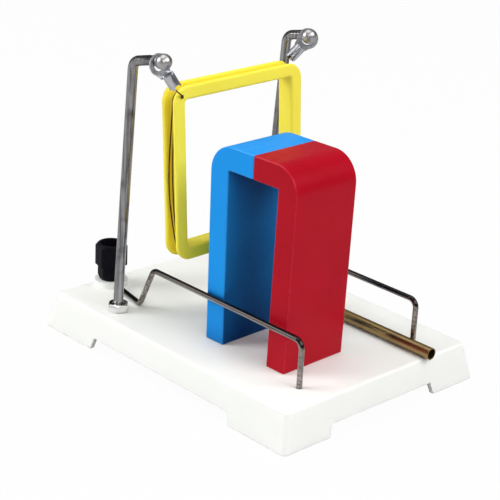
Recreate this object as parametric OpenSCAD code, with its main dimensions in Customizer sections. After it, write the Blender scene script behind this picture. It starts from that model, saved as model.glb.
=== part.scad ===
// Electromagnetic induction apparatus for the classroom: a white moulded base carries two bent
// rods, from whose arms a wound frame swings, two wire rails that join the binding posts,
// a loose U magnet and a loose brass tube.
// +X runs along the long side of the base, away from the binding posts. The origin is the
// middle of the base at the table.

/* [Base] */
// Length of the base at the table
base_length = 180; // [170:1:210]
// Width of the base at the table
base_width = 132; // [128:1:160]
// Height of the base
base_height = 19; // [17:0.5:26]
// How far each side leans in on its way up
side_lean = 4; // [2:0.5:6]
// Radius of the four upright corners
corner_radius = 2.4; // [2:0.2:10]
// Rounding of the top edge
top_edge_radius = 1.6; // [0.8:0.2:2.4]
// Thickness of the top of the base
top_thickness = 3.5; // [3:0.25:5]
// Thickness of the sides of the base
wall = 2.6; // [2:0.2:4]
// Height of the cut-outs between the corner feet
foot_height = 6; // [3:0.5:7]
// Length of the cut-out in a long side
long_cut = 101; // [60:1:110]
// Length of the cut-out in a short side
short_cut = 69; // [40:1:76]

/* [Uprights] */
// Diameter of the bent rods
rod_d = 5; // [4:0.5:6]
// Distance from the left end of the base to the rods
upright_inset = 41.6; // [36:0.5:50]
// Distance from a rod to the long side of the base at the table
upright_margin = 15; // [13:0.5:17]
// Height of the rod's bend above the base
upright_rise = 131.7; // [120:1:150]
// How far the rods lean towards the magnet at their bends
upright_lean = 8.1; // [0:0.5:10]
// Distance along X from the bend to the lug
arm_reach = 19.8; // [18:0.2:24]
// Height of the lug's neck above the bend
arm_rise = 4.2; // [2:0.2:6]
// Angle at which the ends of the arms climb
arm_climb = 9; // [2:1:12]
// Angle by which the end of the left arm is turned to the front
left_end_turn = 6; // [4:1:20]
// Angle by which the end of the right arm is turned to the front
right_end_turn = 38; // [10:1:42]
// Length of the turned end of an arm, to the middle of the dome
end_run = 12.2; // [10:0.2:13]
// Radius of the bend at the top of a rod
rod_bend = 5.5; // [4.5:0.5:8]
// Diameter of the neck that a lug hangs on
neck_d = 2.6; // [2.2:0.2:3.4]
// Diameter of the dome nut's dome on the end of an arm
ball_d = 7.8; // [7.4:0.2:9]
// Diameter of the dome nut's collar
collar_d = 7; // [5:0.2:7]

/* [Swinging frame] */
// Width of the opening in the frame
window_width = 67.9; // [60:0.1:72]
// Height of the opening in the frame
window_height = 74.3; // [60:0.1:82]
// Width of the frame's rim
rim = 6.9; // [6:0.1:7.4]
// Depth of the frame
frame_depth = 10.6; // [9.8:0.2:12.6]
// Radius of the opening's corners
window_corner = 1.6; // [1:0.2:3]
// Depth of the groove for the wire
groove_depth = 3.6; // [3:0.2:4]
// Thickness of the groove's side walls
flange = 2.3; // [1.9:0.1:2.5]
// Diameter of the wire
wire_d = 0.7; // [0.4:0.1:0.8]
// Distance from one turn of the wire to the next
turn_pitch = 1.3; // [1.25:0.05:1.5]
// How far the loose turn bows back across the groove
loose_bow = 1.4; // [0:0.2:1.4]
// How far the loose turn bows out of the groove
loose_lift = 2.3; // [0:0.1:2.6]
// How far the tight turn bows out of the groove
tight_lift = 1.2; // [0:0.1:1.2]

/* [Lugs] */
// Outer diameter of a lug's ring
lug_ring_d = 10.6; // [9:0.2:11]
// Diameter of the hole in the ring
lug_hole_d = 6.2; // [5:0.1:6.6]
// Thickness of the lug
lug_thickness = 1; // [0.8:0.1:1.2]
// Distance from the ring's centre to the end of the barrel
lug_length = 14.2; // [13.8:0.2:18]
// Length of the barrel
barrel_length = 8.5; // [7:0.5:8.5]
// Outer diameter of the barrel
barrel_d = 5.8; // [5:0.2:6.2]
// Wall of the barrel
barrel_wall = 0.8; // [0.6:0.1:1]
// Width of the barrel's seam at its lower end, where the crimp gapes
seam_mouth = 4; // [1:0.2:4.2]

/* [Rails] */
// Diameter of the rail wire
rail_d = 2.8; // [2:0.2:3.2]
// Distance from a rail to the long side of the base at the table
rail_margin = 26.5; // [24:0.5:27]
// Height of the rail's axis above the base
rail_rise = 23.4; // [16:0.5:28]
// Distance from the right end of the base to the rails' legs
rail_inset = 18.8; // [15:0.5:26]
// Length of the rails' raised stretch
rail_length = 106; // [98:1:112]
// How far along X the rails run on their way down
rail_ramp = 10.3; // [6:0.5:14]
// Radius of the bends in the rails
rail_bend = 4.2; // [3:0.2:5]

/* [Tube] */
// Diameter of the brass tube
tube_d = 6; // [5:0.25:6.5]
// Wall of the brass tube
tube_wall = 0.5; // [0.3:0.1:1]
// Length of the brass tube
tube_length = 98; // [90:1:100]
// Distance from the tube's axis to the back of the base at the table
tube_margin = 33.3; // [33:0.1:36]
// How far the tube's end stops short of the end of the base
tube_inset = 0.9; // [0:0.1:6]

/* [Magnet] */
// Width of the magnet at its feet
magnet_width = 53.8; // [50:0.5:58]
// Depth of the magnet
magnet_depth = 40.2; // [36:0.2:41]
// Height of the magnet
magnet_height = 101; // [80:1:110]
// Thickness of a leg
leg_thickness = 11.9; // [10:0.1:14]
// Thickness of the arch
arch_thickness = 11.8; // [10:0.1:16]
// Angle by which each leg spreads on its way up
leg_spread = 0.9; // [0:0.1:1]
// Outer radius of the arch's corners
arch_radius = 14; // [8:0.5:16]
// Wall of the plastic covers
cover_wall = 1.6; // [1.2:0.1:2]
// Place of the magnet's middle along X
magnet_x = 30; // [29:0.5:34]
// Room between the front rail and the magnet
magnet_room = 1.4; // [1.4:0.2:10]
// Angle by which the magnet is turned on the base
magnet_turn = 1.3; // [0:0.1:2]

/* [Binding posts] */
// Distance from the left end of the base to the posts
post_inset = 12; // [11.5:0.25:14]
// Distance from the black post to the front of the base at the table
black_post_margin = 33.4; // [31:0.2:38]
// Distance from the red post to the back of the base at the table
red_post_margin = 16; // [16:0.5:26]
// Diameter of the white boss under a post
boss_d = 17.5; // [16:0.5:18]
// Height of the boss
boss_height = 3.2; // [3.2:0.1:5]
// Diameter of a post's stud
stud_d = 6; // [5.5:0.1:6]
// Diameter of the plug socket in the stud
socket_d = 4.1; // [4:0.05:4.2]
// Depth of the plug socket
socket_depth = 14; // [10:1:16]
// Height of a knob
knob_height = 19.7; // [18:0.5:24]
// Width of a knob across its corners
knob_d = 17.4; // [16:0.2:18]
// Width of a knob's waist across its corners
knob_waist_d = 14.6; // [13.6:0.2:15]
// Height of a knob's waist
knob_waist_height = 7.8; // [6:0.2:9]

/* [Hidden] */
$fn = 64;

// Clearances
slack = 0.15;
seat_gap = 0.3;
thread_slack = 0.03;
running_slack = 0.06;
overrun = 1;
bend_swell = 0.02;
bend_lap = 0.2;

// Base
half_length = base_length / 2;
half_width = base_width / 2;
plate_bottom = base_height - top_thickness;
rib_depth = 4;
rib_width = 2;
cut_slope = 2;

// Hexagon nuts and washers: width across flats, height, washer size
nut5_flats = 9.6;
nut5_height = 4.2;
washer5_d = 11;
nut6_flats = 10;
nut6_height = 5;
nut_sink = 0.7;
washer6_d = 12;
washer_thickness = 1;
tag_thickness = 0.8;
tag_width = 3;
tag_reach = 9;
thread_end = 2.5;

// Uprights
upright_x = upright_inset - half_length;
upright_spacing = base_width - 2 * upright_margin;
corner_z = base_height + upright_rise;
corner_x = upright_x + upright_lean;
rod_above_nut = 4;
straight_foot = nut5_height + rod_above_nut;
foot_nut_corner = -44;
foot_bend = 30;
knee_bend = 8;
neck_run = 6;
lug_behind_ball = ball_d / 2 + seat_gap;
lug_swing_room = 0.85;
collar_end = lug_behind_ball - lug_thickness / 2 - lug_swing_room;

// Ends of the arms: the neck's middle is where the lug hangs; side is -1 left, +1 right
function arm_turn(side) = side > 0 ? -right_end_turn : -left_end_turn;
function arm_direction(side) = [
    cos(arm_climb) * cos(arm_turn(side)),
    cos(arm_climb) * sin(arm_turn(side)),
    sin(arm_climb)
];
knee_to_neck = end_run - lug_behind_ball;
function rod_corner(side) = [corner_x, side * upright_spacing / 2, corner_z];
function neck_middle(side) = [
    corner_x + arm_reach,
    side * upright_spacing / 2 + knee_to_neck * arm_direction(side).y,
    corner_z + arm_rise
];
function rod_knee(side) = neck_middle(side) - arm_direction(side) * knee_to_neck;
function ball_centre(side) = neck_middle(side) + arm_direction(side) * lug_behind_ball;
function rod_shoulder(side) = ball_centre(side) - arm_direction(side) * neck_run;

// Lugs: the angle each one leans away from hanging straight down
lug_drop = (lug_hole_d - neck_d) / 2 - seat_gap;
lug_lean = [-31, 43];
barrel_offset = (barrel_d - lug_thickness) / 2;
seam_top = 0.6;
end_roundness = 0.58;

// Swinging frame: its middle, and the small angles at which it hangs
coil_drop = 56.75;
coil_y = -1.2;
coil_place = [neck_middle(-1).x, coil_y, neck_middle(-1).z - coil_drop];
coil_hang = [1.9, -2.3, -2.2];
groove_width = frame_depth - 2 * flange;
rim_rounding = flange / 2;
window_rounding = 1.4;
wire_rest = 0.15;
wire_seat = rim - groove_depth + wire_d / 2 + wire_rest;
wire_turn_radius = window_corner + wire_seat;
first_turn_x = 0.4;
lead_hole_d = wire_d + 0.7;
lead_hole_angle = 39;

// Rails
rail_spacing = base_width - 2 * rail_margin;
rail_leg_x = half_length - rail_inset;
rail_ramp_top_x = rail_leg_x - rail_length;
rail_ramp_foot_x = rail_ramp_top_x - rail_ramp;
rail_low_z = base_height + rail_d / 2 + 0.05;
rail_leg_drop = 5;
rail_leg_end = plate_bottom - rail_leg_drop;
clip_d = 8;
clip_thickness = 0.8;

// Tube
tube_y = half_width - tube_margin;

// Magnet
magnet_y = (rail_d - rail_spacing + magnet_depth) / 2 + magnet_room;
gap_half = magnet_width / 2 - leg_thickness;
arch_steps = 20;
block_top = 58;
cap_height = 2.5;
core_slack = 0.2;

// Binding posts
post_x = post_inset - half_length;
black_post_y = black_post_margin - half_width;
red_post_y = half_width - red_post_margin;
boss_top = base_height + boss_height;
stud_flange_d = 8;
stud_flange_height = 0.8;
ring_thickness = 0.7;
ring_bottom = boss_top + stud_flange_height + seat_gap;
ring_top = ring_bottom + ring_thickness;
knob_bottom = boss_top + seat_gap;
knob_top = knob_bottom + knob_height;
knob_recess_d = 11.6;
knob_recess_depth = 5;
knob_pocket_d = 9;
knob_pocket_top = ring_top + seat_gap;
insert_d = 9;
insert_bottom = knob_pocket_top + 0.6;
insert_top = knob_top - knob_recess_depth - 2.3;
stud_top = insert_top + 1.3;
knob_skirt_z = knob_bottom + knob_waist_height;
knob_corner_cut = 0.5;
knob_top_bevel = 1.5;
knob_foot_bevel = 2.4;
knob_corner_angle = -14;
lead_d = 1.8;

// Unit vector
function unit(v) = v / norm(v);
// Angle between two directions
function turn_angle(a, b) = acos(max(-1, min(1, a * b / (norm(a) * norm(b)))));

// Round bar from one point to another
module bar(from, to, d) {
    run = to - from;
    translate(from)
        rotate([0, acos(run.z / norm(run)), atan2(run.y, run.x)])
            cylinder(d = d, h = norm(run));
}

// Round elbow that leaves direction a for direction b at a corner, a hair thicker than its bars
module elbow(corner, a, b, d, radius) {
    turn = turn_angle(a, b);
    centre = corner + unit(b - a) * radius / cos(turn / 2);
    start = corner - a * radius * tan(turn / 2);
    ex = unit(start - centre);
    ez = cross(ex, a);
    multmatrix([
        [ex.x, a.x, ez.x, centre.x],
        [ex.y, a.y, ez.y, centre.y],
        [ex.z, a.z, ez.z, centre.z],
        [0, 0, 0, 1]
    ])
        rotate_extrude(angle = turn)
            translate([radius, 0])
                circle(d = d + bend_swell);
}

// Round bar bent at each inner point of a path; radii holds one bend radius for each
module bent_bar(path, d, radii) {
    last = len(path) - 1;
    way = [for (i = [0 : last - 1]) unit(path[i + 1] - path[i])];
    setback = [for (i = [0 : last]) i == 0 || i == last
        ? 0
        : radii[i - 1] * tan(turn_angle(way[i - 1], way[i]) / 2)];
    lap = [for (i = [0 : last]) i == 0 || i == last ? 0 : bend_lap];
    for (i = [0 : last - 1])
        bar(
            path[i] + way[i] * (setback[i] - lap[i]),
            path[i + 1] - way[i] * (setback[i + 1] - lap[i + 1]),
            d
        );
    for (i = [1 : last - 1])
        elbow(path[i], way[i - 1], way[i], d, radii[i - 1]);
}

// Hexagon nut with chamfered corners and a countersunk bore, standing on z = 0
module hex_nut(flats, height, bore_d) {
    corners = flats / cos(30);
    chamfer = (corners - flats) / 2;
    difference() {
        intersection() {
            cylinder(d = corners, h = height, $fn = 6);
            union() {
                cylinder(d1 = flats - 0.4, d2 = corners + 0.2, h = chamfer);
                translate([0, 0, chamfer])
                    cylinder(d = corners + 0.2, h = height - 2 * chamfer);
                translate([0, 0, height - chamfer])
                    cylinder(d1 = corners + 0.2, d2 = flats - 0.4, h = chamfer);
            }
        }
        translate([0, 0, -overrun])
            cylinder(d = bore_d, h = height + 2 * overrun);
        translate([0, 0, height - nut_sink])
            cylinder(d1 = bore_d, d2 = bore_d + 2 * (nut_sink + overrun), h = nut_sink + overrun);
    }
}

// Flat ring standing on z = 0
module flat_ring(outer_d, inner_d, height) {
    difference() {
        cylinder(d = outer_d, h = height);
        translate([0, 0, -overrun])
            cylinder(d = inner_d, h = height + 2 * overrun);
    }
}

// One thin slice of the base at height z, drawn in from its outline at the table
module base_slice(z, inset) {
    for (x = [-1, 1], y = [-1, 1])
        translate([
            x * (half_length - corner_radius - inset),
            y * (half_width - corner_radius - inset),
            z
        ])
            cylinder(r = corner_radius, h = 0.02, $fn = 32);
}

// How far the outside of the base has leaned in at height z
function lean_at(z) = side_lean * z / base_height;

// Outer shape of the base with its rounded top edge
module base_outside() {
    shoulder = base_height - top_edge_radius;
    hull() {
        base_slice(0, 0);
        for (a = [0, 30, 60, 90])
            base_slice(
                shoulder + top_edge_radius * sin(a) - (a > 0 ? 0.02 : 0),
                lean_at(shoulder) + top_edge_radius * (1 - cos(a))
            );
    }
}

// Hollow under the base
module base_hollow() {
    hull() {
        base_slice(-overrun, wall + lean_at(-overrun));
        base_slice(plate_bottom - 0.02, wall + lean_at(plate_bottom));
    }
}

// Cut-outs that leave a foot at each corner; length is the cut's at its top
module foot_cut(length, depth) {
    rotate([90, 0, 0])
        linear_extrude(height = depth, center = true)
            polygon([
                [-length / 2 - cut_slope, -overrun],
                [-length / 2, foot_height],
                [length / 2, foot_height],
                [length / 2 + cut_slope, -overrun]
            ]);
}

// Stiffening ribs under the plate
module base_ribs() {
    rib_bottom = plate_bottom - rib_depth;
    inner_length = base_length - 2 * (wall + side_lean);
    inner_width = base_width - 2 * (wall + side_lean);
    rib_to_hole = 16;
    for (y = [-1, 1])
        translate([-inner_length / 2, y * inner_width / 6 - rib_width / 2, rib_bottom])
            cube([inner_length, rib_width, rib_depth + 0.5]);
    for (x = [upright_x + rib_to_hole, rail_leg_x - rib_to_hole])
        translate([x - rib_width / 2, -inner_width / 2, rib_bottom])
            cube([rib_width, inner_width, rib_depth + 0.5]);
}

module base() color("white") {
    difference() {
        union() {
            difference() {
                base_outside();
                base_hollow();
            }
            base_ribs();
            for (y = [black_post_y, red_post_y])
                translate([post_x, y, plate_bottom])
                    cylinder(d = boss_d, h = top_thickness + boss_height);
        }
        foot_cut(long_cut, base_width + 2 * overrun);
        rotate([0, 0, 90])
            foot_cut(short_cut, base_length + 2 * overrun);
        for (side = [-1, 1]) {
            translate([upright_x, side * upright_spacing / 2, plate_bottom - overrun])
                cylinder(d = rod_d + 2 * slack, h = top_thickness + 2 * overrun);
            translate([rail_leg_x, side * rail_spacing / 2, plate_bottom - overrun])
                cylinder(d = rail_d + 2 * slack, h = top_thickness + 2 * overrun);
        }
        for (y = [black_post_y, red_post_y])
            translate([post_x, y, plate_bottom - overrun])
                cylinder(d = stud_d + 2 * slack, h = top_thickness + boss_height + 2 * overrun);
        for (side = [-1, 1])
            bar(rail_foot(side), rail_end(side) + unit(rail_end(side) - rail_foot(side)), rail_d + 2 * slack);
    }
}

// Upright: straight through the base, leaning above it, then the arm
function rod_path(side) = [
    [upright_x, side * upright_spacing / 2,
        plate_bottom - tag_thickness - washer_thickness - nut5_height - thread_end],
    [upright_x, side * upright_spacing / 2, base_height + straight_foot],
    rod_corner(side),
    rod_knee(side),
    rod_shoulder(side)
];

module upright(side) color("silver") {
    bent_bar(rod_path(side), rod_d, [foot_bend, rod_bend, knee_bend]);
    bar(rod_shoulder(side) - arm_direction(side) * overrun, ball_centre(side) - arm_direction(side) * 2, neck_d);
}

module upright_left() { upright(-1); }
module upright_right() { upright(1); }

module upright_nuts() color("gainsboro") {
    for (side = [-1, 1])
        translate([upright_x, side * upright_spacing / 2, base_height])
            rotate([0, 0, foot_nut_corner])
                hex_nut(nut5_flats, nut5_height, rod_d + 2 * thread_slack);
}

module upright_lower_nuts() color("gainsboro") {
    for (side = [-1, 1])
        translate([
            upright_x,
            side * upright_spacing / 2,
            plate_bottom - tag_thickness - washer_thickness - nut5_height
        ])
            hex_nut(nut5_flats, nut5_height, rod_d + 2 * thread_slack);
}

module upright_washers() color("silver") {
    for (side = [-1, 1])
        translate([upright_x, side * upright_spacing / 2, plate_bottom - tag_thickness - washer_thickness])
            flat_ring(washer5_d, rod_d + 2 * slack, washer_thickness);
}

// Dome nuts that keep the lugs on the arms
module dome_nuts() color("silver") {
    for (side = [-1, 1])
        difference() {
            union() {
                translate(ball_centre(side))
                    sphere(d = ball_d);
                bar(ball_centre(side), ball_centre(side) - arm_direction(side) * collar_end, collar_d);
            }
            bar(
                ball_centre(side) - arm_direction(side) * ball_d,
                ball_centre(side) - arm_direction(side) * (2 - thread_slack),
                neck_d + 2 * thread_slack
            );
        }
}

// Section of the frame: x runs outward from the opening, y through the depth
module frame_section() {
    half = frame_depth / 2;
    difference() {
        union() {
            translate([window_rounding, -half])
                square([rim - window_rounding - rim_rounding, frame_depth]);
            translate([0, -half + window_rounding])
                square([window_rounding + 0.01, frame_depth - 2 * window_rounding]);
            for (s = [-1, 1]) {
                translate([window_rounding, s * (half - window_rounding)])
                    circle(r = window_rounding);
                translate([rim - rim_rounding, s * (half - rim_rounding)])
                    circle(r = rim_rounding);
            }
        }
        translate([rim - groove_depth, -groove_width / 2])
            square([groove_depth + overrun, groove_width]);
    }
}

// Puts a child from the frame's own axes, opening in the YZ plane, in its hanging place
module hang_coil() {
    translate(coil_place)
        rotate([0, 0, coil_hang.z])
            rotate([coil_hang.x, 0, 0])
                rotate([0, coil_hang.y, 0])
                    children();
}

// One straight bar of the frame: length along Y, at the given distance above the middle
module frame_bar(length, distance) {
    translate([0, length / 2, distance])
        rotate([90, 0, 0])
            linear_extrude(height = length)
                rotate(90)
                    frame_section();
}

module coil_frame() color("yellow")
    hang_coil()
        difference() {
            union() {
                for (a = [0, 180])
                    rotate([a, 0, 0])
                        frame_bar(window_width - 2 * window_corner, window_height / 2);
                for (a = [90, 270])
                    rotate([a, 0, 0])
                        frame_bar(window_height - 2 * window_corner, window_width / 2);
                for (y = [-1, 1], z = [-1, 1])
                    translate([0, y * (window_width / 2 - window_corner), z * (window_height / 2 - window_corner)])
                        rotate([0, 90, 0])
                            rotate([0, 0, y > 0 ? (z > 0 ? 90 : 0) : (z > 0 ? 180 : 270)])
                                rotate_extrude(angle = 90)
                                    translate([window_corner, 0])
                                        frame_section();
            }
            translate([frame_depth / 2 + overrun, lead_hole.y, lead_hole.z])
                rotate([0, -90, 0])
                    cylinder(d = lead_hole_d, h = flange + 2 * overrun);
        }

// Where the wire passes through the front flange, in the frame's own axes
lead_hole = [
    frame_depth / 2,
    -window_width / 2 + window_corner - wire_turn_radius * cos(lead_hole_angle),
    window_height / 2 - window_corner + wire_turn_radius * sin(lead_hole_angle)
];

// Turning matrix of the hanging frame
function spin_x(a) = [[1, 0, 0], [0, cos(a), -sin(a)], [0, sin(a), cos(a)]];
function spin_y(a) = [[cos(a), 0, sin(a)], [0, 1, 0], [-sin(a), 0, cos(a)]];
function spin_z(a) = [[cos(a), -sin(a), 0], [sin(a), cos(a), 0], [0, 0, 1]];
hang_matrix = spin_z(coil_hang.z) * spin_x(coil_hang.x) * spin_y(coil_hang.y);
function hung(p) = coil_place + hang_matrix * p;

// Wire: corners of its turns, and how it bows on its way down the left side
turn_y = window_width / 2 - window_corner;
turn_z = window_height / 2 - window_corner;
quarter = [0, 22.5, 45, 67.5, 90];
half_quarter = [0, 22.5, 45];
function corner_run(x, y, z, from, steps = quarter) =
    [for (a = steps) [x, y + wire_turn_radius * cos(from + a), z + wire_turn_radius * sin(from + a)]];
left_steps = 6;
function down_left(x, bow, lift) = [
    for (i = [1 : left_steps])
        let (t = i / (left_steps + 1))
            [x - bow * sin(180 * t), -turn_y - wire_turn_radius - lift * sin(180 * t), turn_z * (1 - 2 * t)]
];
function lower_half(x) = concat(
    corner_run(x, -turn_y, -turn_z, 180),
    corner_run(x, turn_y, -turn_z, 270)
);
second_turn_x = first_turn_x - turn_pitch;

// Where the wire leaves the groove for the right lug: just outside the corner of the back flange
exit_radius = window_corner + rim + wire_d;
exit_angle = 51;
exit_point = [
    wire_d - groove_width / 2,
    turn_y + exit_radius * cos(exit_angle),
    turn_z + exit_radius * sin(exit_angle)
];

winding_points = concat(
    down_left(first_turn_x, 0, tight_lift),
    lower_half(first_turn_x),
    corner_run(first_turn_x, turn_y, turn_z, 0),
    corner_run(second_turn_x, -turn_y, turn_z, 90),
    down_left(second_turn_x, loose_bow, loose_lift),
    lower_half(second_turn_x),
    corner_run(second_turn_x, turn_y, turn_z, 0, half_quarter),
    [exit_point]
);

// Lug axes at rest: along the arm, and down the barrel
function arm_up(side) = [
    -sin(arm_climb) * cos(arm_turn(side)),
    -sin(arm_climb) * sin(arm_turn(side)),
    cos(arm_climb)
];
function arm_across(side) = cross(arm_up(side), arm_direction(side));
function lug_centre(side) = neck_middle(side) - arm_up(side) * lug_drop;
function lean_of(side) = lug_lean[side > 0 ? 1 : 0];
function barrel_way(side) =
    -cos(lean_of(side)) * arm_up(side) - sin(lean_of(side)) * arm_across(side);
function barrel_point(side, along) =
    lug_centre(side) + barrel_way(side) * along + arm_direction(side) * (barrel_offset - wire_in_barrel);

// Whole wire from inside the left barrel, round the frame and into the right barrel.
// It lies against the closed wall of each barrel.
lead_inside = 2;
wire_in_barrel = barrel_d / 2 - barrel_wall - wire_d / 2 - seat_gap;
wire_points = concat(
    [
        barrel_point(-1, lug_length - lead_inside),
        barrel_point(-1, lug_length + 0.6),
        hung(lead_hole + [1.2, -0.6, 1.2]),
        hung(lead_hole + [0.75, 0, 0]),
        hung(lead_hole + [-flange - wire_d / 2, 0, 0]),
        hung([first_turn_x + 1, -turn_y - wire_turn_radius * cos(14), turn_z + wire_turn_radius * sin(14)])
    ],
    [for (p = winding_points) hung(p)],
    [
        barrel_point(1, lug_length + 0.3),
        barrel_point(1, lug_length - lead_inside)
    ]
);

// Sweeps a tube of six sides along points, turning its ring as little as it can
tube_sides = 6;
function tangent(points, i) =
    unit(points[min(i + 1, len(points) - 1)] - points[max(i - 1, 0)]);
function square_to(v, t) = unit(v - (v * t) * t);
function ring_starts(points, i, previous) =
    i == len(points)
        ? []
        : let (now = square_to(previous, tangent(points, i)))
            concat([now], ring_starts(points, i + 1, now));
module wire_tube(points, d) {
    starts = ring_starts(points, 0, [0.3, 1, 0.2]);
    rings = len(points);
    corners = [
        for (i = [0 : rings - 1])
            let (t = tangent(points, i), u = starts[i], v = cross(t, u))
                for (k = [0 : tube_sides - 1])
                    points[i] + d / 2 * (u * cos(360 * k / tube_sides) + v * sin(360 * k / tube_sides))
    ];
    function corner_of(i, k) = i * tube_sides + k % tube_sides;
    sides = [
        for (i = [0 : rings - 2], k = [0 : tube_sides - 1], half = [0, 1])
            half == 0
                ? [corner_of(i, k), corner_of(i + 1, k), corner_of(i + 1, k + 1)]
                : [corner_of(i, k), corner_of(i + 1, k + 1), corner_of(i, k + 1)]
    ];
    first_end = [for (k = [1 : tube_sides - 2]) [0, k, k + 1]];
    last_end = [
        for (k = [1 : tube_sides - 2])
            [corner_of(rings - 1, 0), corner_of(rings - 1, k + 1), corner_of(rings - 1, k)]
    ];
    polyhedron(points = corners, faces = concat(sides, first_end, last_end));
}

// Least gap of the wire to itself, over points of the path that lie a few diameters apart along it
function between(a, b, t) = a + (b - a) * t;
fine_points = [
    for (i = [0 : len(wire_points) - 2])
        let (count = ceil(norm(wire_points[i + 1] - wire_points[i]) / 1.5))
            for (k = [0 : count - 1])
                between(wire_points[i], wire_points[i + 1], k / count)
];
apart = 8;
least_gap = min([
    for (i = [0 : len(fine_points) - 1 - apart], j = [i + apart : len(fine_points) - 1])
        norm(fine_points[i] - fine_points[j])
]) - wire_d;
echo(least_gap_of_wire_mm = least_gap);

module coil_wire() color("saddlebrown") wire_tube(wire_points, wire_d);

// Crimped ring lug: x along the arm, ring in the YZ plane, barrel running down
module lug() {
    barrel_top = lug_length - barrel_length;
    rotate([0, 90, 0])
        difference() {
            translate([0, 0, -lug_thickness / 2])
                union() {
                    cylinder(d = lug_ring_d, h = lug_thickness);
                    linear_extrude(height = lug_thickness)
                        polygon([
                            [0, -lug_ring_d / 2],
                            [0, lug_ring_d / 2],
                            [barrel_top + 1, barrel_d / 2],
                            [barrel_top + 1, -barrel_d / 2]
                        ]);
                }
            translate([0, 0, -overrun])
                cylinder(d = lug_hole_d, h = lug_thickness + 2 * overrun);
        }
    difference() {
        translate([barrel_offset, 0, -lug_length])
            cylinder(d = barrel_d, h = barrel_length);
        translate([barrel_offset, 0, -lug_length - overrun])
            cylinder(d = barrel_d - 2 * barrel_wall, h = barrel_length + 2 * overrun);
        barrel_seam();
        barrel_end();
    }
}

// Seam down the front of the barrel, wider towards its lower end
module barrel_seam() {
    translate([barrel_offset, 0, 0])
        rotate([90, 0, 90])
            linear_extrude(height = barrel_d)
                polygon([
                    [-seam_mouth / 2, -lug_length - overrun],
                    [seam_mouth / 2, -lug_length - overrun],
                    [seam_top / 2, -lug_length + barrel_length + overrun],
                    [-seam_top / 2, -lug_length + barrel_length + overrun]
                ]);
}

// What is cut off the barrel's lower end to round it, as seen along the arm
module barrel_end() {
    end_radius = end_roundness * barrel_d;
    translate([-lug_thickness, 0, -lug_length])
        rotate([90, 0, 90])
            linear_extrude(height = barrel_d + 2 * lug_thickness)
                difference() {
                    translate([-barrel_d, -overrun])
                        square([2 * barrel_d, end_radius + overrun]);
                    translate([0, end_radius])
                        circle(r = end_radius);
                }
}

module hang_lug(side) color("silver")
    translate(lug_centre(side))
        rotate([0, 0, arm_turn(side)])
            rotate([0, -arm_climb, 0])
                rotate([lean_of(side) * -1, 0, 0])
                    lug();

module lug_left() { hang_lug(-1); }
module lug_right() { hang_lug(1); }

// Rails: leg up from the base, raised stretch, ramp, then along the base into the post's boss
function rail_y(side) = side * rail_spacing / 2;
function rail_post_y(side) = side < 0 ? black_post_y : red_post_y;
function rail_foot(side) = [rail_ramp_foot_x, rail_y(side), rail_low_z];
function rail_end(side) =
    let (post = [post_x, rail_post_y(side), rail_low_z])
        post + unit(rail_foot(side) - post) * (stud_d / 2 + seat_gap);
function rail_path(side) = [
    [rail_leg_x, rail_y(side), rail_leg_end],
    [rail_leg_x, rail_y(side), base_height + rail_rise],
    [rail_ramp_top_x, rail_y(side), base_height + rail_rise],
    rail_foot(side),
    rail_end(side)
];

module rail_front() color("dimgray") bent_bar(rail_path(-1), rail_d, [rail_bend, rail_bend, rail_bend]);
module rail_back() color("dimgray") bent_bar(rail_path(1), rail_d, [rail_bend, rail_bend, rail_bend]);

// Push-on rings that hold the rails' legs under the base
module rail_clips() color("silver") {
    for (side = [-1, 1])
        translate([rail_leg_x, rail_y(side), plate_bottom - clip_thickness])
            flat_ring(clip_d, rail_d + 2 * thread_slack, clip_thickness);
}

module brass_tube() color("darkgoldenrod")
    translate([half_length - tube_inset - tube_length, tube_y, base_height + tube_d / 2 + slack])
        rotate([0, 90, 0])
            flat_ring(tube_d, tube_d - 2 * tube_wall, tube_length);

// Left half of the magnet seen from the front, drawn in by inset, from its foot up to the arch
// and across to the seam; the leg spreads outward on its way up
function leg_outer_x(z) = -magnet_width / 2 - z * tan(leg_spread);
function leg_inner_x(z) = -gap_half - z * tan(leg_spread);
module magnet_half(inset, foot, seam) {
    radius = arch_radius - inset;
    roof = magnet_height - inset;
    arch = magnet_height - arch_thickness + inset;
    slant = inset / cos(leg_spread);
    lift = magnet_height - arch_radius;
    centre = [leg_outer_x(lift) + arch_radius / cos(leg_spread), lift];
    corner = [
        for (i = [0 : arch_steps])
            let (a = 180 + leg_spread - i * (90 + leg_spread) / arch_steps)
                centre + radius * [cos(a), sin(a)]
    ];
    polygon(concat(
        [[leg_outer_x(foot) + slant, foot]],
        corner,
        [
            [seam, roof],
            [seam, arch],
            [leg_inner_x(arch) - slant, arch],
            [leg_inner_x(foot) - slant, foot]
        ]
    ));
}

// Stands a front view of the magnet on the base, side -1 as drawn, +1 mirrored
module stand_magnet(side, depth) {
    translate([magnet_x, magnet_y, base_height])
        rotate([0, 0, magnet_turn])
            mirror([side > 0 ? 1 : 0, 0, 0])
                translate([0, depth / 2, 0])
                    rotate([90, 0, 0])
                        linear_extrude(height = depth)
                            children();
}

module magnet_cover(side) {
    difference() {
        stand_magnet(side, magnet_depth)
            magnet_half(0, 0, 0);
        stand_magnet(side, magnet_depth - 2 * cover_wall)
            magnet_half(cover_wall, -overrun, overrun);
    }
}

module magnet_core(side, bottom, top) {
    stand_magnet(side, magnet_depth - 2 * cover_wall - 2 * core_slack)
        intersection() {
            magnet_half(cover_wall + core_slack, 0, 0);
            translate([-magnet_width, bottom])
                square([magnet_width, top - bottom]);
        }
}

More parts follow.
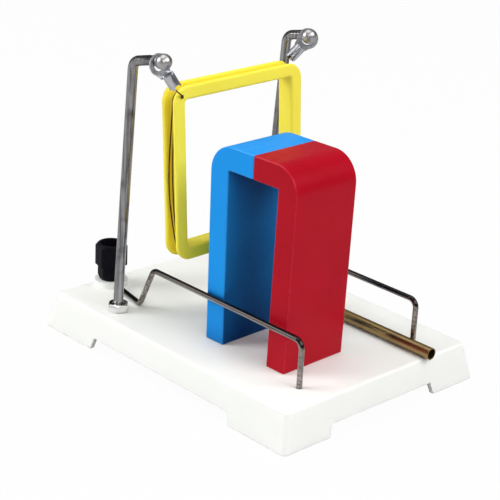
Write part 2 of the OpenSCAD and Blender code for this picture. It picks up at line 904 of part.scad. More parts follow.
module magnet_cover_blue() color("dodgerblue") magnet_cover(-1);
module magnet_cover_red() color("crimson") magnet_cover(1);
module magnet_yoke() color("gray") {
    for (side = [-1, 1])
        magnet_core(side, block_top, magnet_height);
}
module magnet_block_blue() color("#303030") magnet_core(-1, cap_height + core_slack, block_top - core_slack);
module magnet_block_red() color("#303030") magnet_core(1, cap_height + core_slack, block_top - core_slack);
module pole_cap_blue() color("dodgerblue") magnet_core(-1, 0, cap_height);
module pole_cap_red() color("crimson") magnet_core(1, 0, cap_height);

// Stud of a binding post, with its plug socket and cross hole
module stud(y) color("silver")
    translate([post_x, y, 0])
        difference() {
            union() {
                translate([0, 0, post_stud_bottom])
                    cylinder(d = stud_d, h = stud_top - post_stud_bottom);
                translate([0, 0, boss_top])
                    cylinder(d = stud_flange_d, h = stud_flange_height);
            }
            translate([0, 0, stud_top - socket_depth])
                cylinder(d = socket_d, h = socket_depth + overrun);
        }

post_stud_bottom = plate_bottom - tag_thickness - washer_thickness - nut6_height - thread_end;

module stud_black() { stud(black_post_y); }
module stud_red() { stud(red_post_y); }

// Hexagonal head of a knob with its corners cut round and its top edge bevelled
module knob_head() {
    round_d = knob_d - knob_corner_cut;
    bevel_z = knob_top - knob_top_bevel;
    intersection() {
        translate([0, 0, knob_skirt_z])
            cylinder(d = knob_d, h = knob_top - knob_skirt_z, $fn = 6);
        union() {
            translate([0, 0, knob_skirt_z])
                cylinder(d = round_d, h = bevel_z - knob_skirt_z);
            translate([0, 0, bevel_z])
                cylinder(d1 = round_d, d2 = round_d - 2 * knob_top_bevel + 0.5, h = knob_top_bevel);
        }
    }
}

// Narrower hexagonal waist under the head, bevelled at its foot and running up into the head
module knob_waist() {
    round_d = knob_waist_d - knob_corner_cut;
    height = knob_waist_height + 1;
    translate([0, 0, knob_bottom])
        intersection() {
            cylinder(d = knob_waist_d, h = height, $fn = 6);
            union() {
                cylinder(d1 = round_d - knob_foot_bevel, d2 = round_d, h = knob_foot_bevel);
                translate([0, 0, knob_foot_bevel])
                    cylinder(d = round_d, h = height - knob_foot_bevel);
            }
        }
}

// Knob: hollow at the top, with a pocket under it
module knob(y) {
    translate([post_x, y, 0])
        difference() {
            rotate([0, 0, knob_corner_angle]) {
                knob_head();
                knob_waist();
            }
            translate([0, 0, knob_bottom - overrun])
                cylinder(d = knob_pocket_d, h = knob_pocket_top - knob_bottom + overrun);
            translate([0, 0, knob_bottom])
                cylinder(d = stud_d + 4 * slack, h = knob_height);
            translate([0, 0, insert_bottom])
                cylinder(d = insert_d, h = insert_top - insert_bottom);
            translate([0, 0, knob_top - knob_recess_depth])
                cylinder(d = knob_recess_d, h = knob_recess_depth + overrun);
        }
}

module knob_black() color("#202022") knob(black_post_y);
module knob_red() color("firebrick") knob(red_post_y);

// Threaded brass insert moulded into a knob
module knob_insert(y) color("goldenrod")
    translate([post_x, y, insert_bottom])
        flat_ring(insert_d, stud_d + 2 * running_slack, insert_top - insert_bottom);

module knob_insert_black() { knob_insert(black_post_y); }
module knob_insert_red() { knob_insert(red_post_y); }

// Ring that presses a bare wire down when the knob is screwed home
module clamp_ring(y) color("silver")
    translate([post_x, y, ring_bottom])
        flat_ring(stud_flange_d, stud_d + 2 * running_slack, ring_thickness);

module clamp_ring_black() { clamp_ring(black_post_y); }
module clamp_ring_red() { clamp_ring(red_post_y); }

module post_nuts() color("gainsboro") {
    for (y = [black_post_y, red_post_y])
        translate([post_x, y, plate_bottom - tag_thickness - washer_thickness - nut6_height])
            hex_nut(nut6_flats, nut6_height, stud_d + 2 * thread_slack);
}

module post_washers() color("silver") {
    for (y = [black_post_y, red_post_y])
        translate([post_x, y, plate_bottom - tag_thickness - washer_thickness])
            flat_ring(washer6_d, stud_d + 2 * slack, washer_thickness);
}

// Solder tag under the plate: ring about a stud or rod, tail towards a point
module solder_tag(from, to, hole_d, ring_d) {
    way = to - from;
    translate([from.x, from.y, plate_bottom - tag_thickness])
        rotate([0, 0, atan2(way.y, way.x)])
            difference() {
                union() {
                    cylinder(d = ring_d, h = tag_thickness);
                    translate([0, -tag_width / 2, 0])
                        cube([tag_reach, tag_width, tag_thickness]);
                }
                translate([0, 0, -overrun])
                    cylinder(d = hole_d, h = tag_thickness + 2 * overrun);
            }
}

function upright_foot(side) = [upright_x, side * upright_spacing / 2, 0];
function post_of(side) = [post_x, rail_post_y(side), 0];

module solder_tags() color("silver") {
    for (side = [-1, 1]) {
        solder_tag(post_of(side), upright_foot(side), stud_d + 2 * slack, washer6_d);
        solder_tag(upright_foot(side), post_of(side), rod_d + 2 * slack, washer5_d);
    }
}

// Insulated wire soldered under the tails of two tags
module lead(side) {
    way = unit(upright_foot(side) - post_of(side));
    level = [0, 0, plate_bottom - tag_thickness - lead_d / 2];
    bar(
        post_of(side) + way * (tag_reach - 2) + level,
        upright_foot(side) - way * (tag_reach - 2) + level,
        lead_d
    );
}

module lead_black() color("#202022") lead(-1);
module lead_red() color("firebrick") lead(1);

base();
upright_left();
upright_right();
upright_nuts();
upright_lower_nuts();
upright_washers();
dome_nuts();
coil_frame();
coil_wire();
lug_left();
lug_right();
rail_front();
rail_back();
rail_clips();
brass_tube();
magnet_cover_blue();
magnet_cover_red();
magnet_yoke();
magnet_block_blue();
magnet_block_red();
pole_cap_blue();
pole_cap_red();
stud_black();
stud_red();
knob_black();
knob_red();
knob_insert_black();
knob_insert_red();
clamp_ring_black();
clamp_ring_red();
post_nuts();
post_washers();
solder_tags();
lead_black();
lead_red();
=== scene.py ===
from math import cos, pi, radians, sin

import bpy
from mathutils import Matrix, Vector


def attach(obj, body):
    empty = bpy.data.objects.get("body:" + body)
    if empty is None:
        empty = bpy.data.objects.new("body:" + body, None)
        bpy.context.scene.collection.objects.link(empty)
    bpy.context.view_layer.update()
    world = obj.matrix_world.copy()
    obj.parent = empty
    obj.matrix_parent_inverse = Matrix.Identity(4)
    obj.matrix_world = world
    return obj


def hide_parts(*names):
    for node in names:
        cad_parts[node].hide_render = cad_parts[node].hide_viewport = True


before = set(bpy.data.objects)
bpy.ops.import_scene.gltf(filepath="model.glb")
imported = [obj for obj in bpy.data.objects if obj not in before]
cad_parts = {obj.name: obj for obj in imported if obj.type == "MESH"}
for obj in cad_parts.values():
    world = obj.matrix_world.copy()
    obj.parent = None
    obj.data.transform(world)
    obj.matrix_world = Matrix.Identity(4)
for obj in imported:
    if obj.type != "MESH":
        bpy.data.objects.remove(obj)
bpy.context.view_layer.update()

MM = 0.001

# Where the photograph was taken from: place, viewing angles and lens
CAMERA_PLACE = Vector((0.49603, -0.48670, 0.32627))
CAMERA_AZIMUTH = radians(45.939)
CAMERA_ELEVATION = radians(21.314)
CAMERA_ROLL = radians(2.976)
SENSOR_WIDTH = 36
FOCAL_PIXELS = 1487.15
PHOTO_WIDTH = 500

# Sizes that the pieces made here share with the CAD part, in millimetres
COIL_PLACE = Vector((-20.5, -1.2, 98.15))
COIL_HANG = (1.9, -2.3, -2.2)
WINDOW_WIDTH = 67.9
WINDOW_HEIGHT = 74.3
WINDOW_CORNER = 1.6
RIM = 6.9
FRAME_DEPTH = 10.6
FLANGE = 2.3
GROOVE_DEPTH = 3.6
WIRE_D = 0.7
NECK_X = -20.5
NECK_Z = 154.9
NECK_D = 2.6
UPRIGHT_SPACING = 102
KNEE_TO_NECK = 8
ARM_CLIMB = radians(9)
ARM_TURNS = {-1: radians(-6), 1: radians(-38)}
LUG_LEANS = {-1: radians(-31), 1: radians(43)}
LUG_HOLE_D = 6.2
LUG_THICKNESS = 1
LUG_LENGTH = 14.2
BARREL_D = 5.8
BARREL_WALL = 0.8
SEAT_GAP = 0.3
WIRE_REST = 0.15
EXIT_ANGLE = radians(51)
HOLE_ANGLE = radians(39)

# How the two turns of wire lie, as in the photograph, in millimetres; up to 1 mm from the CAD wire.
# A bow goes back across the groove and a lift goes out of it.
FIRST_X = 0.9
TURN_PITCH = 1.2
SECOND_X = FIRST_X - TURN_PITCH
TIGHT_BOW = 0.85
TIGHT_LIFT = 1.2
LOOSE_BOW = 1.6
LOOSE_LIFT = 2

# How deep each end of the wire lies in its barrel, in millimetres
BARREL_GRIP = 2


# Camera, floor, lights

def set_camera():
    """Camera where the photograph was taken from, rolled as it was."""
    a, e, r = CAMERA_AZIMUTH, CAMERA_ELEVATION, CAMERA_ROLL
    back = Vector((sin(a) * cos(e), -cos(a) * cos(e), sin(e)))
    level_right = Vector((cos(a), sin(a), 0))
    level_up = back.cross(level_right)
    right = level_right * cos(r) + level_up * sin(r)
    up = level_up * cos(r) - level_right * sin(r)
    data = bpy.data.cameras.new("camera")
    data.sensor_width = SENSOR_WIDTH
    data.lens = FOCAL_PIXELS * SENSOR_WIDTH / PHOTO_WIDTH
    data.clip_start = 0.01
    camera = bpy.data.objects.new("camera", data)
    camera.matrix_world = Matrix((right, up, back)).transposed().to_4x4()
    camera.location = CAMERA_PLACE
    bpy.context.collection.objects.link(camera)
    bpy.context.scene.camera = camera


def mirrored_ray(path, nodes, links):
    """Value that is 1 for rays that come by gloss or through something clear."""
    either = nodes.new("ShaderNodeMath")
    either.operation = "MAXIMUM"
    links.new(path.outputs["Is Glossy Ray"], either.inputs[0])
    links.new(path.outputs["Is Transmission Ray"], either.inputs[1])
    return either.outputs[0]


def set_world(strength, mirrored_strength):
    """White where the camera looks, a soft even light for the object, another one in its reflections."""
    world = bpy.data.worlds.new("studio")
    bpy.context.scene.world = world
    world.use_nodes = True
    nodes, links = world.node_tree.nodes, world.node_tree.links
    nodes.clear()
    out = nodes.new("ShaderNodeOutputWorld")
    soft = nodes.new("ShaderNodeBackground")
    soft.inputs["Color"].default_value = (1, 0.995, 0.985, 1)
    soft.inputs["Strength"].default_value = strength
    gloss = nodes.new("ShaderNodeBackground")
    gloss.inputs["Color"].default_value = (0.8, 0.8, 0.8, 1)
    gloss.inputs["Strength"].default_value = mirrored_strength
    white = nodes.new("ShaderNodeBackground")
    white.inputs["Color"].default_value = (1, 1, 1, 1)
    white.inputs["Strength"].default_value = 1
    path = nodes.new("ShaderNodeLightPath")
    by_gloss = nodes.new("ShaderNodeMixShader")
    links.new(mirrored_ray(path, nodes, links), by_gloss.inputs[0])
    links.new(soft.outputs[0], by_gloss.inputs[1])
    links.new(gloss.outputs[0], by_gloss.inputs[2])
    by_camera = nodes.new("ShaderNodeMixShader")
    links.new(path.outputs["Is Camera Ray"], by_camera.inputs[0])
    links.new(by_gloss.outputs[0], by_camera.inputs[1])
    links.new(white.outputs[0], by_camera.inputs[2])
    links.new(by_camera.outputs[0], out.inputs["Surface"])


def add_floor(size, drop, white_share):
    """Pale floor just under the feet that stays white in the picture and keeps a faint shadow."""
    bpy.ops.mesh.primitive_plane_add(size=size, location=(0, 0, -drop))
    floor = bpy.context.object
    floor.name = "floor"
    material = bpy.data.materials.new("floor")
    material.use_nodes = True
    nodes, links = material.node_tree.nodes, material.node_tree.links
    nodes.clear()
    out = nodes.new("ShaderNodeOutputMaterial")
    paper = nodes.new("ShaderNodeBsdfDiffuse")
    paper.inputs["Color"].default_value = (0.6, 0.6, 0.595, 1)
    white = nodes.new("ShaderNodeEmission")
    white.inputs["Strength"].default_value = 1
    path = nodes.new("ShaderNodeLightPath")
    share = nodes.new("ShaderNodeMath")
    share.operation = "MULTIPLY"
    share.inputs[1].default_value = white_share
    links.new(path.outputs["Is Camera Ray"], share.inputs[0])
    mix = nodes.new("ShaderNodeMixShader")
    links.new(share.outputs[0], mix.inputs[0])
    links.new(paper.outputs[0], mix.inputs[1])
    links.new(white.outputs[0], mix.inputs[2])
    links.new(mix.outputs[0], out.inputs["Surface"])
    floor.data.materials.append(material)


def add_lamp(name, place, target, size, watts):
    """Square soft box of white light that looks at a target."""
    data = bpy.data.lights.new(name, "AREA")
    data.shape = "SQUARE"
    data.size = size
    data.energy = watts
    lamp = bpy.data.objects.new(name, data)
    lamp.location = place
    way = Vector(target) - Vector(place)
    lamp.rotation_euler = way.to_track_quat("-Z", "Y").to_euler()
    bpy.context.collection.objects.link(lamp)


def add_card(name, place, target, width, height, shade, blocks_light=False):
    """Dark card outside the picture, seen in shiny surfaces; it may also keep soft light off."""
    bpy.ops.mesh.primitive_plane_add(size=1, location=place)
    card = bpy.context.object
    card.name = name
    card.scale = (width, height, 1)
    way = Vector(target) - Vector(place)
    card.rotation_euler = way.to_track_quat("Z", "Y").to_euler()
    material = bpy.data.materials.new(name)
    material.use_nodes = True
    nodes, links = material.node_tree.nodes, material.node_tree.links
    nodes.clear()
    out = nodes.new("ShaderNodeOutputMaterial")
    felt = nodes.new("ShaderNodeEmission")
    felt.inputs["Color"].default_value = (shade, shade, shade, 1)
    links.new(felt.outputs[0], out.inputs["Surface"])
    card.data.materials.append(material)
    card.visible_camera = False
    card.visible_diffuse = blocks_light
    card.visible_shadow = False
    card.visible_transmission = False


set_camera()
set_world(strength=0.2, mirrored_strength=0.3)
add_floor(size=6, drop=0.2 * MM, white_share=0.97)
MIDDLE = (0, 0, 0.07)
add_lamp("left_box", (-0.9, -1.1, 0.72), MIDDLE, size=0.8, watts=15)
add_lamp("right_box", (1.1, -0.2, 1.05), MIDDLE, size=0.8, watts=4.5)
add_lamp("camera_box", (0.8, -0.85, 0.75), MIDDLE, size=0.5, watts=3)
add_lamp("back_box", (1.1, 0.47, 1.08), MIDDLE, size=0.9, watts=11.5)
add_lamp("top_box", (-0.3, -0.1, 1.6), MIDDLE, size=1.4, watts=11)
add_card("room_behind_camera", (1.2, -1.35, 0.3), MIDDLE, 2.4, 1.8, shade=0.03, blocks_light=True)
add_card("room_left", (-1.8, 0.3, 0.4), MIDDLE, 1.6, 1.4, shade=0.1, blocks_light=True)
add_card("room_behind", (0.5, 1.8, 0.35), MIDDLE, 2.4, 1.5, shade=0.1, blocks_light=True)
add_card("room_right", (1.7, 0.4, 0.3), MIDDLE, 0.5, 1.4, shade=0.06)


# Materials

# How far the painted shade in hollows looks for something near, in millimetres, and the rays that it and
# round_edges send
SHELTER_REACH = 60
SHELTER_SAMPLES = 8
EDGE_SAMPLES = 6

# Lowest roughness that vary_roughness gives
SMOOTHEST = 0.02

# Lines of drawn metal: their number in a metre, their depth in millimetres and which way they run
LINES_PER_METRE = 900
LINE_DEPTH = 0.01
ALONG_X = (0.03, 1, 1)
ALONG_Z = (1, 1, 0.015)


class Look:
    """Material of one Principled shader, with helpers that add its surface detail."""

    def __init__(self, name, colour, roughness, metallic=0.0):
        self.material = bpy.data.materials.new(name)
        self.material.use_nodes = True
        self.nodes = self.material.node_tree.nodes
        self.links = self.material.node_tree.links
        self.shader = self.nodes["Principled BSDF"]
        self.shader.inputs["Base Color"].default_value = (*colour, 1)
        self.shader.inputs["Roughness"].default_value = roughness
        self.shader.inputs["Metallic"].default_value = metallic
        self.colour = colour
        self.roughness = roughness
        self.height = None

    def set(self, **values):
        """Sets sockets of the shader by their names, with _ for a space."""
        for name, value in values.items():
            self.shader.inputs[name.replace("_", " ")].default_value = value

    def noise(self, per_metre, detail=3, stretch=(1, 1, 1)):
        """Noise over the object's own place, so many bumps per metre."""
        place = self.nodes.new("ShaderNodeTexCoord")
        mapping = self.nodes.new("ShaderNodeMapping")
        mapping.inputs["Scale"].default_value = stretch
        noise = self.nodes.new("ShaderNodeTexNoise")
        noise.inputs["Scale"].default_value = per_metre
        noise.inputs["Detail"].default_value = detail
        self.links.new(place.outputs["Object"], mapping.inputs["Vector"])
        self.links.new(mapping.outputs["Vector"], noise.inputs["Vector"])
        return noise.outputs["Fac"]

    def vary_colour(self, other, fac, low=0.35, high=0.75):
        """Blends the base colour towards another where fac is high."""
        ramp = self.nodes.new("ShaderNodeMapRange")
        ramp.inputs["From Min"].default_value = low
        ramp.inputs["From Max"].default_value = high
        mix = self.nodes.new("ShaderNodeMix")
        mix.data_type = "RGBA"
        mix.inputs["A"].default_value = (*self.colour, 1)
        mix.inputs["B"].default_value = (*other, 1)
        before = self.shader.inputs["Base Color"].links
        if before:
            self.links.new(before[0].from_socket, mix.inputs["A"])
        self.links.new(fac, ramp.inputs["Value"])
        self.links.new(ramp.outputs["Result"], mix.inputs["Factor"])
        self.links.new(mix.outputs["Result"], self.shader.inputs["Base Color"])

    def vary_roughness(self, fac, spread):
        """Moves the roughness up and down by spread with fac."""
        ramp = self.nodes.new("ShaderNodeMapRange")
        ramp.inputs["From Min"].default_value = 0.3
        ramp.inputs["From Max"].default_value = 0.7
        ramp.inputs["To Min"].default_value = max(SMOOTHEST, self.roughness - spread)
        ramp.inputs["To Max"].default_value = self.roughness + spread
        self.links.new(fac, ramp.inputs["Value"])
        self.links.new(ramp.outputs["Result"], self.shader.inputs["Roughness"])

    def paint_hollow_shade(self, other):
        """Paints shade in hollows: blends the colour towards another where the surface is closed in by
        something near.
        """
        shelter = self.nodes.new("ShaderNodeAmbientOcclusion")
        shelter.samples = SHELTER_SAMPLES
        shelter.inputs["Distance"].default_value = SHELTER_REACH * MM
        shut = self.nodes.new("ShaderNodeMath")
        shut.operation = "SUBTRACT"
        shut.inputs[0].default_value = 1
        self.links.new(shelter.outputs["AO"], shut.inputs[1])
        self.vary_colour(other, shut.outputs[0], 0.3, 0.75)

    def facing_up(self):
        """How far the surface faces up: 1 on top, 0 on an upright side, -1 below."""
        place = self.nodes.new("ShaderNodeTexCoord")
        split = self.nodes.new("ShaderNodeSeparateXYZ")
        self.links.new(place.outputs["Normal"], split.inputs["Vector"])
        return split.outputs["Z"]

    def round_edges(self, radius):
        """Lets light run softly round the edges, by a radius in millimetres."""
        edge = self.nodes.new("ShaderNodeBevel")
        edge.samples = EDGE_SAMPLES
        edge.inputs["Radius"].default_value = radius * MM
        self.height = edge.outputs["Normal"]

    def bump(self, fac, depth, strength=1.0):
        """Raises the surface by fac times depth, in millimetres."""
        bump = self.nodes.new("ShaderNodeBump")
        bump.inputs["Distance"].default_value = depth * MM
        bump.inputs["Strength"].default_value = strength
        self.links.new(fac, bump.inputs["Height"])
        if self.height:
            self.links.new(self.height, bump.inputs["Normal"])
        self.height = bump.outputs["Normal"]
        self.links.new(self.height, self.shader.inputs["Normal"])


def moulded_plastic(
    name, colour, darker, roughness, grain=0.02, subsurface=0.0, specular=0.2, edge=0.4, hollow_shade=None
):
    """Moulded plastic: a little uneven in colour and gloss, with a fine grain and shallow sink waves; it may
    get painted shade in its hollows.
    """
    look = Look(name, colour, roughness)
    look.round_edges(edge)
    look.set(Specular_IOR_Level=specular)
    if subsurface:
        look.set(Subsurface_Weight=subsurface, Subsurface_Scale=0.003, Subsurface_Radius=(1, 1, 1))
    look.vary_colour(darker, look.noise(38, 4))
    # Painted shade: the colour turns darker where the surface is closed in
    if hollow_shade:
        look.paint_hollow_shade(hollow_shade)
    look.vary_roughness(look.noise(260, 5), 0.06)
    look.bump(look.noise(24, 1), 0.25, 0.35)
    look.bump(look.noise(2600, 4), grain, 0.5)
    return look.material


def drawn_metal(name, colour, darker, roughness, stretch, upper_shade=None):
    """Drawn metal: fine lines along one direction, duller patches, tiny pits; its upper side may get painted
    shade, a darker colour.
    """
    look = Look(name, colour, roughness, 1.0)
    lines = look.noise(LINES_PER_METRE, 3, stretch)
    look.vary_colour(darker, lines, 0.42, 0.68)
    look.vary_colour(tuple(c * 0.8 for c in darker), look.noise(140, 5), 0.55, 0.8)
    # Painted shade: the colour turns darker where the surface faces up
    if upper_shade:
        look.vary_colour(upper_shade, look.facing_up(), 0.05, 0.35)
    look.vary_roughness(look.noise(420, 4, stretch), 0.07)
    look.bump(lines, LINE_DEPTH, 0.6)
    look.bump(look.noise(5200, 2), 0.006, 0.4)
    return look.material


def plated_metal(name, colour, darker, roughness):
    """Plated fastener: bright, slightly uneven plating."""
    look = Look(name, colour, roughness, 1.0)
    look.vary_colour(darker, look.noise(300, 4), 0.45, 0.75)
    look.vary_roughness(look.noise(900, 3), 0.05)
    look.bump(look.noise(700, 3), 0.008, 0.4)
    return look.material


def varnished_wire(name, colour, darker):
    """Enamelled wire: dark brown varnish with a soft gloss."""
    look = Look(name, colour, 0.4, 0.2)
    look.set(Specular_IOR_Level=0.25)
    look.vary_colour(darker, look.noise(500, 3))
    look.bump(look.noise(3000, 2), 0.01, 0.4)
    return look.material


def sintered_block(name, colour, darker, roughness):
    """Pressed magnet or cast iron: coarse matt grain."""
    look = Look(name, colour, roughness, 0.3)
    look.vary_colour(darker, look.noise(900, 5))
    look.bump(look.noise(1800, 5), 0.06, 0.7)
    return look.material


WHITE = moulded_plastic("white_plastic", (0.91, 0.92, 0.895), (0.885, 0.9, 0.865), 0.42, 0.012, 0.25)
# The yellow and blue plastics get painted shade in their hollows, ochre and dark navy
YELLOW = moulded_plastic(
    "yellow_plastic", (0.97, 0.84, 0.085), (0.95, 0.8, 0.07), 0.36, 0.01, 0.15,
    edge=0.8, hollow_shade=(0.97, 0.77, 0.045)
)
BLUE = moulded_plastic(
    "blue_plastic", (0.012, 0.295, 0.81), (0.01, 0.275, 0.76), 0.36, 0.015,
    specular=0.06, edge=1.1, hollow_shade=(0.001, 0.028, 0.14)
)
RED = moulded_plastic(
    "red_plastic", (0.42, 0.0017, 0.013), (0.38, 0.0014, 0.011), 0.36, 0.015, specular=0.1, edge=1.1
)
BLACK = moulded_plastic(
    "black_plastic", (0.007, 0.007, 0.011), (0.004, 0.004, 0.007), 0.42, 0.02, specular=0.03
)
KNOB_RED = moulded_plastic(
    "red_knob_plastic", (0.42, 0.012, 0.016), (0.37, 0.01, 0.013), 0.36, 0.02, specular=0.1
)
ROD = drawn_metal("rod_steel", (0.36, 0.35, 0.36), (0.11, 0.106, 0.112), 0.2, ALONG_Z)
# The rails' upper sides get painted shade, darker on top
RAIL = drawn_metal(
    "rail_steel", (0.34, 0.3, 0.28), (0.12, 0.105, 0.1), 0.2, ALONG_X, upper_shade=(0.035, 0.031, 0.031)
)
BRASS = drawn_metal("tube_brass", (0.36, 0.25, 0.11), (0.22, 0.145, 0.06), 0.38, ALONG_X)
BRIGHT = plated_metal("bright_plate", (0.78, 0.78, 0.77), (0.66, 0.66, 0.65), 0.16)
ZINC = plated_metal("zinc_plate", (0.72, 0.72, 0.7), (0.58, 0.58, 0.55), 0.28)
DOME = plated_metal("dome_plate", (0.47, 0.455, 0.455), (0.38, 0.37, 0.37), 0.36)
TINNED = plated_metal("tinned_copper", (0.56, 0.57, 0.6), (0.42, 0.43, 0.47), 0.36)
# Lighter, glossier looks for the magnet covers' bevel faces: a painted highlight along their edges; the blue
# one also has painted shade in hollows
BLUE_PAINTED_HIGHLIGHT = moulded_plastic(
    "blue_plastic_painted_highlight", (0.02, 0.32, 0.84), (0.017, 0.3, 0.8), 0.3, 0.01,
    specular=0.18, edge=0.8, hollow_shade=(0.002, 0.07, 0.28)
)
RED_PAINTED_HIGHLIGHT = moulded_plastic(
    "red_plastic_painted_highlight", (0.52, 0.007, 0.022), (0.47, 0.005, 0.018), 0.3, 0.01, specular=0.18, edge=0.8
)
INSERT = plated_metal("insert_brass", (0.72, 0.53, 0.22), (0.6, 0.42, 0.16), 0.25)
COPPER = varnished_wire("enamelled_copper", (0.085, 0.042, 0.006), (0.05, 0.022, 0.004))
FERRITE = sintered_block("magnet_block", (0.05, 0.05, 0.052), (0.03, 0.03, 0.032), 0.6)
YOKE = sintered_block("yoke_steel", (0.28, 0.28, 0.29), (0.18, 0.18, 0.19), 0.45)
LEAD_BLACK = moulded_plastic("black_insulation", (0.02, 0.02, 0.02), (0.014, 0.014, 0.014), 0.45)
LEAD_RED = moulded_plastic("red_insulation", (0.45, 0.015, 0.015), (0.38, 0.012, 0.012), 0.45)

NODE_LOOKS = {
    "base": WHITE,
    "upright_left": ROD,
    "upright_right": ROD,
    "upright_nuts": BRIGHT,
    "upright_lower_nuts": ZINC,
    "upright_washers": ZINC,
    "dome_nuts": DOME,
    "coil_frame": YELLOW,
    "lug_left": TINNED,
    "lug_right": TINNED,
    "rail_front": RAIL,
    "rail_back": RAIL,
    "rail_clips": ZINC,
    "brass_tube": BRASS,
    "magnet_cover_blue": BLUE,
    "magnet_cover_red": RED,
    "magnet_yoke": YOKE,
    "magnet_block_blue": FERRITE,
    "magnet_block_red": FERRITE,
    "pole_cap_blue": BLUE,
    "pole_cap_red": RED,
    "stud_black": ZINC,
    "stud_red": ZINC,
    "knob_black": BLACK,
    "knob_red": KNOB_RED,
    "knob_insert_black": INSERT,
    "knob_insert_red": INSERT,
    "clamp_ring_black": BRIGHT,
    "clamp_ring_red": BRIGHT,
    "post_nuts": ZINC,
    "post_washers": ZINC,
    "solder_tags": TINNED,
    "lead_black": LEAD_BLACK,
    "lead_red": LEAD_RED,
    "coil_wire": COPPER,
}
for node, look in NODE_LOOKS.items():
    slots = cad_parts[node].data.materials
    slots.clear()
    slots.append(look)


# Softened edges of the CAD nodes

# Points this near are one, in millimetres; faces this level are one; edges sharper than this are rounded
WELD_REACH = 0.002
FLAT_WITHIN = radians(0.3)
SHARPER_THAN = radians(30)
EDGE_STEPS = 3
FACE_WEIGHT = 60


def soften(node, width, highlight_look=None):
    """Rounds the sharp edges of a CAD node by a small bevel, in millimetres; the bevel faces may get a
    lighter look, a painted highlight.
    """
    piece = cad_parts[node]
    bpy.ops.object.select_all(action="DESELECT")
    piece.select_set(True)
    bpy.context.view_layer.objects.active = piece
    bpy.ops.mesh.customdata_custom_splitnormals_clear()
    for face in piece.data.polygons:
        face.use_smooth = True
    weld = piece.modifiers.new("weld", "WELD")
    weld.merge_threshold = WELD_REACH * MM
    flat = piece.modifiers.new("flat_faces", "DECIMATE")
    flat.decimate_type = "DISSOLVE"
    flat.angle_limit = FLAT_WITHIN
    edge = piece.modifiers.new("edges", "BEVEL")
    edge.width = width * MM
    edge.segments = EDGE_STEPS
    edge.limit_method = "ANGLE"
    edge.angle_limit = SHARPER_THAN
    edge.harden_normals = True
    # Painted highlight: the bevel faces take the lighter look
    if highlight_look:
        piece.data.materials.append(highlight_look)
        edge.material = 1
    normals = piece.modifiers.new("normals", "WEIGHTED_NORMAL")
    normals.keep_sharp = True
    normals.weight = FACE_WEIGHT


# The magnet covers' bevel faces get a painted highlight
soften("magnet_cover_blue", 0.6, BLUE_PAINTED_HIGHLIGHT)
soften("magnet_cover_red", 0.6, RED_PAINTED_HIGHLIGHT)
for node, width in {
    "knob_black": 0.35,
    "knob_red": 0.35,
    "upright_nuts": 0.2,
    "lug_left": 0.15,
    "lug_right": 0.15,
    "base": 0.4,
}.items():
    soften(node, width)


# Wire of the coil, with a little knot where it leaves the frame

def hung(x, y, z):
    """Point of the hanging frame, from its own axes."""
    spin = Matrix.Rotation(radians(COIL_HANG[2]), 3, "Z")
    spin = spin @ Matrix.Rotation(radians(COIL_HANG[0]), 3, "X")
    spin = spin @ Matrix.Rotation(radians(COIL_HANG[1]), 3, "Y")
    return COIL_PLACE + spin @ Vector((x, y, z))


def barrel_point(side, along):
    """Point along the wire's seat in a lug's barrel; side is -1 left, 1 right."""
    turn = ARM_TURNS[side]
    arm = Vector((cos(ARM_CLIMB) * cos(turn), cos(ARM_CLIMB) * sin(turn), sin(ARM_CLIMB)))
    up = Vector((-sin(ARM_CLIMB) * cos(turn), -sin(ARM_CLIMB) * sin(turn), cos(ARM_CLIMB)))
    across = up.cross(arm)
    lean = LUG_LEANS[side]
    neck = Vector((NECK_X, side * UPRIGHT_SPACING / 2 + KNEE_TO_NECK * arm.y, NECK_Z))
    ring = neck - up * ((LUG_HOLE_D - NECK_D) / 2 - SEAT_GAP)
    way = -cos(lean) * up - sin(lean) * across
    axis_offset = (BARREL_D - LUG_THICKNESS) / 2
    wall_offset = BARREL_D / 2 - BARREL_WALL - WIRE_D / 2 - SEAT_GAP
    return ring + way * along + arm * (axis_offset - wall_offset)


TURN_Y = WINDOW_WIDTH / 2 - WINDOW_CORNER
TURN_Z = WINDOW_HEIGHT / 2 - WINDOW_CORNER
WIRE_RADIUS = WINDOW_CORNER + RIM - GROOVE_DEPTH + WIRE_D / 2 + WIRE_REST
HOLE_Y = -TURN_Y - WIRE_RADIUS * cos(HOLE_ANGLE)
HOLE_Z = TURN_Z + WIRE_RADIUS * sin(HOLE_ANGLE)
HOLE_X = FRAME_DEPTH / 2
OUT_Y = TURN_Y + WIRE_RADIUS
OUT_Z = TURN_Z + WIRE_RADIUS
EXIT_RADIUS = WINDOW_CORNER + RIM + WIRE_D
ENTRY_ANGLE = radians(14)

# Points along a side; a power over 1 puts the widest bow below the middle; the knot's loops and their points
SIDE_STEPS = 14
SAG = 1.25
KNOT_LOOPS = 2
LOOP_STEPS = 24


def corner_points(x, y, z, start, turn=90):
    """Turn of the wire round a corner of the frame."""
    steps = [start + a for a in range(0, turn + 1, 15)]
    return [hung(x, y + WIRE_RADIUS * cos(radians(a)), z + WIRE_RADIUS * sin(radians(a))) for a in steps]


def left_side(x, bow, lift):
    """Run down the left side, which bows back across the groove and out of it, most below the middle."""
    points = []
    for i in range(1, SIDE_STEPS):
        t = i / SIDE_STEPS
        share = sin(pi * t ** SAG)
        points.append(hung(x - bow * share, -OUT_Y - lift * share, TURN_Z * (1 - 2 * t)))
    return points


def lower_half(x):
    """From the lower left corner round to the top of the right side."""
    points = corner_points(x, -TURN_Y, -TURN_Z, 180)
    points += [hung(x, TURN_Y * s, -OUT_Z) for s in (-0.5, 0, 0.5)]
    points += corner_points(x, TURN_Y, -TURN_Z, 270)
    points += [hung(x, OUT_Y, TURN_Z * s) for s in (-0.5, 0, 0.5)]
    return points


def over_top(x, next_x):
    """Back over the top to the next turn."""
    return [hung(x + (next_x - x) * i / 4, TURN_Y - TURN_Y * i / 2, OUT_Z) for i in range(1, 4)]


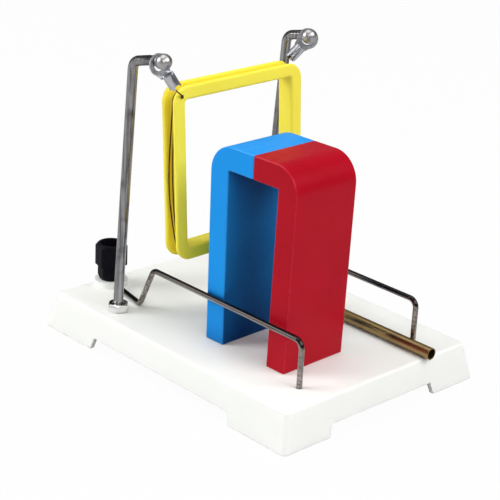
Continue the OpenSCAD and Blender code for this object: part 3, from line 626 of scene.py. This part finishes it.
def wire_path():
    """Whole wire: left barrel, knot, hole, two turns, right barrel."""
    points = [barrel_point(-1, LUG_LENGTH - BARREL_GRIP), barrel_point(-1, LUG_LENGTH + 0.6)]
    points.append(hung(HOLE_X + 1.2, HOLE_Y - 0.6, HOLE_Z + 1.2))
    points.append(hung(HOLE_X + 0.75, HOLE_Y, HOLE_Z))
    points.append(hung(HOLE_X - FLANGE - WIRE_D / 2, HOLE_Y, HOLE_Z))
    entry_y = -TURN_Y - WIRE_RADIUS * cos(ENTRY_ANGLE)
    entry_z = TURN_Z + WIRE_RADIUS * sin(ENTRY_ANGLE)
    points.append(hung(FIRST_X + 0.8, entry_y, entry_z))
    points += left_side(FIRST_X, TIGHT_BOW, TIGHT_LIFT) + lower_half(FIRST_X)
    points += corner_points(FIRST_X, TURN_Y, TURN_Z, 0)
    points += over_top(FIRST_X, SECOND_X) + corner_points(SECOND_X, -TURN_Y, TURN_Z, 90)
    points += left_side(SECOND_X, LOOSE_BOW, LOOSE_LIFT) + lower_half(SECOND_X)
    points += corner_points(SECOND_X, TURN_Y, TURN_Z, 0, 45)
    exit_y = TURN_Y + EXIT_RADIUS * cos(EXIT_ANGLE)
    exit_z = TURN_Z + EXIT_RADIUS * sin(EXIT_ANGLE)
    points.append(hung(FLANGE - FRAME_DEPTH / 2 + WIRE_D, exit_y, exit_z))
    points += [barrel_point(1, LUG_LENGTH + 0.3), barrel_point(1, LUG_LENGTH - BARREL_GRIP)]
    return points


def smooth(points, steps=4):
    """Smooth curve through points, a cubic between each two."""
    padded = [points[0], *points, points[-1]]
    line = []
    for a, b, c, d in zip(padded, padded[1:], padded[2:], padded[3:]):
        for i in range(steps):
            t = i / steps
            bend = (2 * a - 5 * b + 4 * c - d) * t * t
            twist = (3 * b - a - 3 * c + d) * t ** 3
            line.append(0.5 * (2 * b + (c - a) * t + bend + twist))
    return [*line, points[-1]]


def add_tube(name, points, diameter, look, body):
    """Round wire along points, in millimetres."""
    curve = bpy.data.curves.new(name, "CURVE")
    curve.dimensions = "3D"
    curve.bevel_depth = diameter / 2 * MM
    curve.bevel_resolution = 4
    curve.use_fill_caps = True
    spline = curve.splines.new("POLY")
    spline.points.add(len(points) - 1)
    for knot, point in zip(spline.points, points):
        knot.co = (*(point * MM), 1)
    curve.materials.append(look)
    wire = bpy.data.objects.new(name, curve)
    bpy.context.collection.objects.link(wire)
    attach(wire, body)
    return wire


def add_wire():
    """The dressed wire, which stands for the CAD wire."""
    wire = add_tube("wire_turns", smooth(wire_path()), WIRE_D, COPPER, "swing")
    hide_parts("coil_wire")


def add_knot():
    """Two tight loops of the wire round its own lead, just outside the hole."""
    top = hung(HOLE_X + 1.2, HOLE_Y - 0.6, HOLE_Z + 1.8)
    bottom = hung(HOLE_X + 0.7, HOLE_Y - 0.1, HOLE_Z + 0.2)
    along = (bottom - top).normalized()
    first = along.cross(Vector((0, 0, 1))).normalized()
    second = along.cross(first)
    points = []
    steps = KNOT_LOOPS * LOOP_STEPS
    for i in range(steps + 1):
        a = 2 * pi * i / LOOP_STEPS
        middle = top + (bottom - top) * (0.1 + 0.8 * i / steps)
        points.append(middle + (first * cos(a) + second * sin(a)) * WIRE_D * 0.55)
    knot = add_tube("wire_knot", points, WIRE_D * 0.8, COPPER, "swing")


add_wire()
add_knot()

bpy.context.scene.view_settings.view_transform = "Standard"
